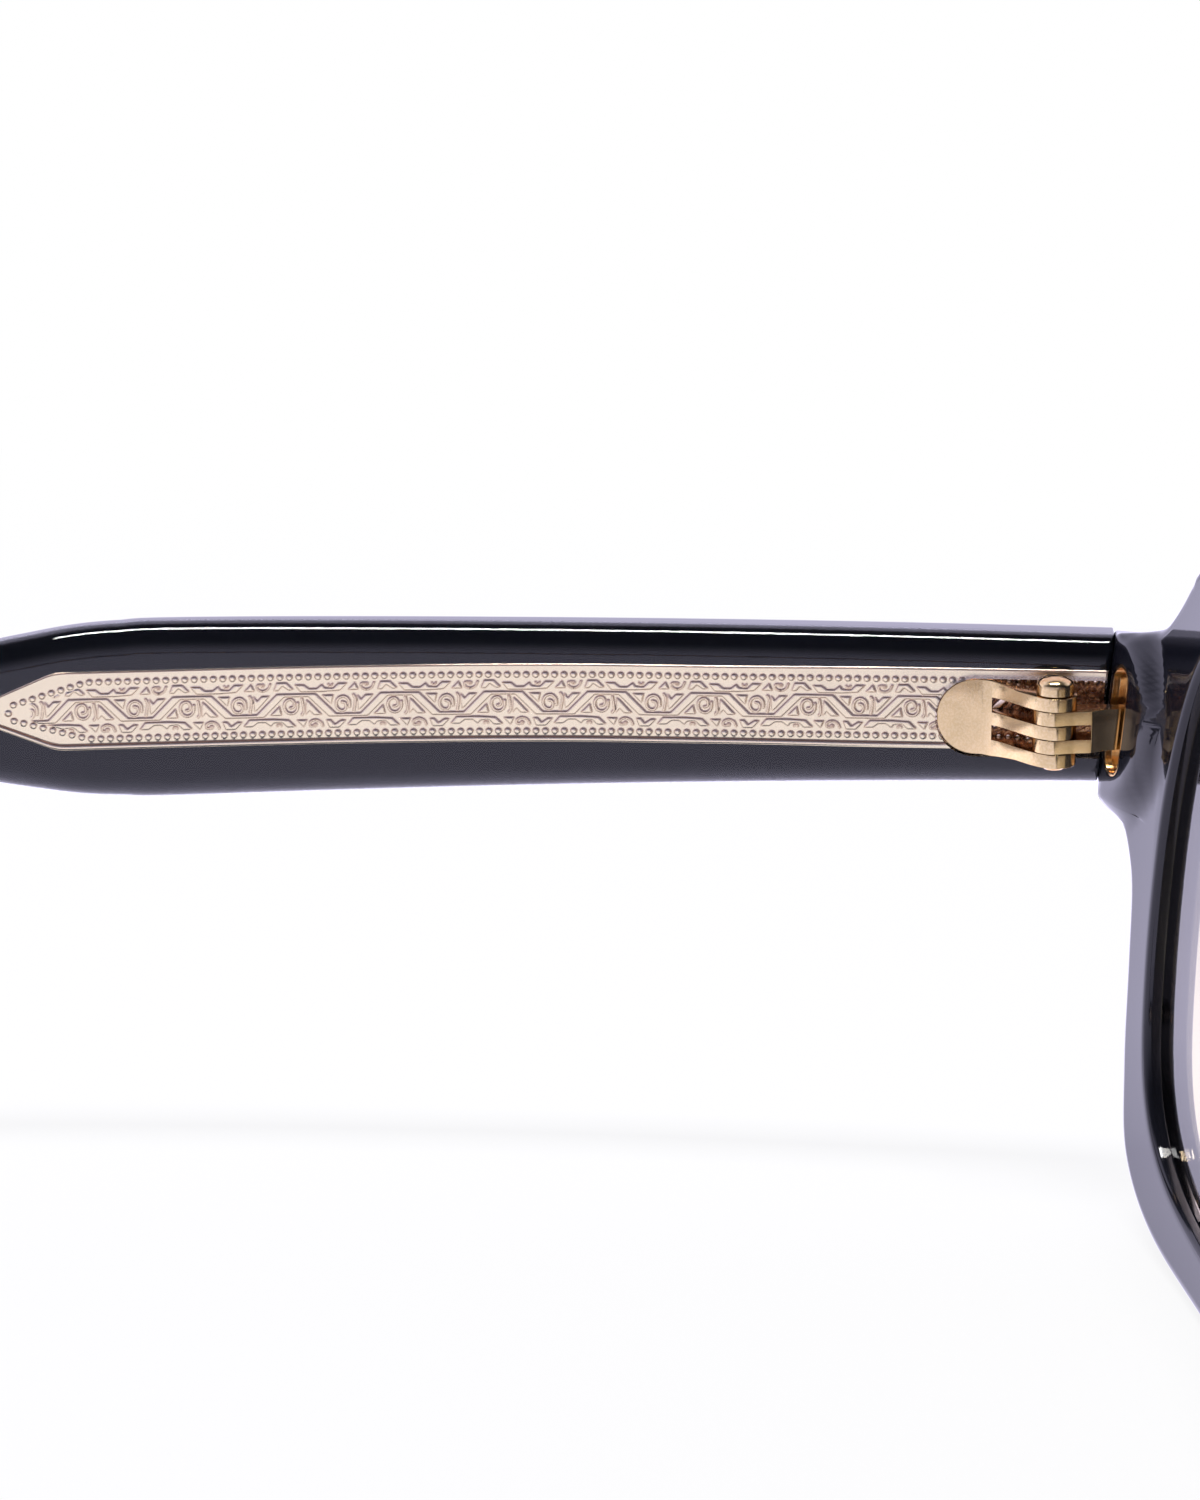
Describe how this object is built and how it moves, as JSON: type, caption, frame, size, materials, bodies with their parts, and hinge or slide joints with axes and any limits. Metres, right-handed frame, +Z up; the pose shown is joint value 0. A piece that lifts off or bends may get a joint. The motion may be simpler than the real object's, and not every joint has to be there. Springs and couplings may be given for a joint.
{
  "type": "sunglasses",
  "caption": "Sunglasses with a thick glossy black front, soft rounded-square gradient lenses and broad folding temples with an engraved metal core under a clear inner layer.",
  "frame": {"origin": "middle of the bounding box's base, on the table that the rims and the temple tips rest on", "axes": "+X to the wearer's left, along the front's longest extent; the front faces -Y and the temples run towards +Y; +Z up"},
  "size_m": [0.154, 0.1486, 0.0497],
  "materials": {
    "black_acetate": "polished black acetate",
    "clear_acetate": "clear polished acetate",
    "gradient_lens": "brown gradient tint, darker at the top",
    "gold_hinge": "gold plated, satin faces and bright edges",
    "engraved_core": "pale rose gold with fine engraved ornament"
  },
  "bodies": {
    "front": {"front_frame": "black_acetate", "lens_left": "gradient_lens", "lens_right": "gradient_lens", "nose_pad_left": "black_acetate", "nose_pad_right": "black_acetate", "hinge_front_leaf_left": "gold_hinge", "hinge_front_leaf_right": "gold_hinge"},
    "temple_left": {"temple_outer_layer_left": "black_acetate", "temple_inner_layer_left": "clear_acetate", "wire_core_left": "engraved_core", "hinge_temple_leaf_left": "gold_hinge", "hinge_screw_left": "gold_hinge"},
    "temple_right": {"temple_outer_layer_right": "black_acetate", "temple_inner_layer_right": "clear_acetate", "wire_core_right": "engraved_core", "hinge_temple_leaf_right": "gold_hinge", "hinge_screw_right": "gold_hinge"}
  },
  "joints": [
    {"name": "left_temple_fold", "type": "hinge", "parent": "front", "child": "temple_left", "pos_m": [0.06914, -0.05795, 0.03193], "axis": [0, 0.0434, 0.9991], "range_deg": [0, 88]},
    {"name": "right_temple_fold", "type": "hinge", "parent": "front", "child": "temple_right", "pos_m": [-0.06914, -0.05795, 0.03193], "axis": [0, -0.0434, -0.9991], "range_deg": [0, 82]}
  ]
}
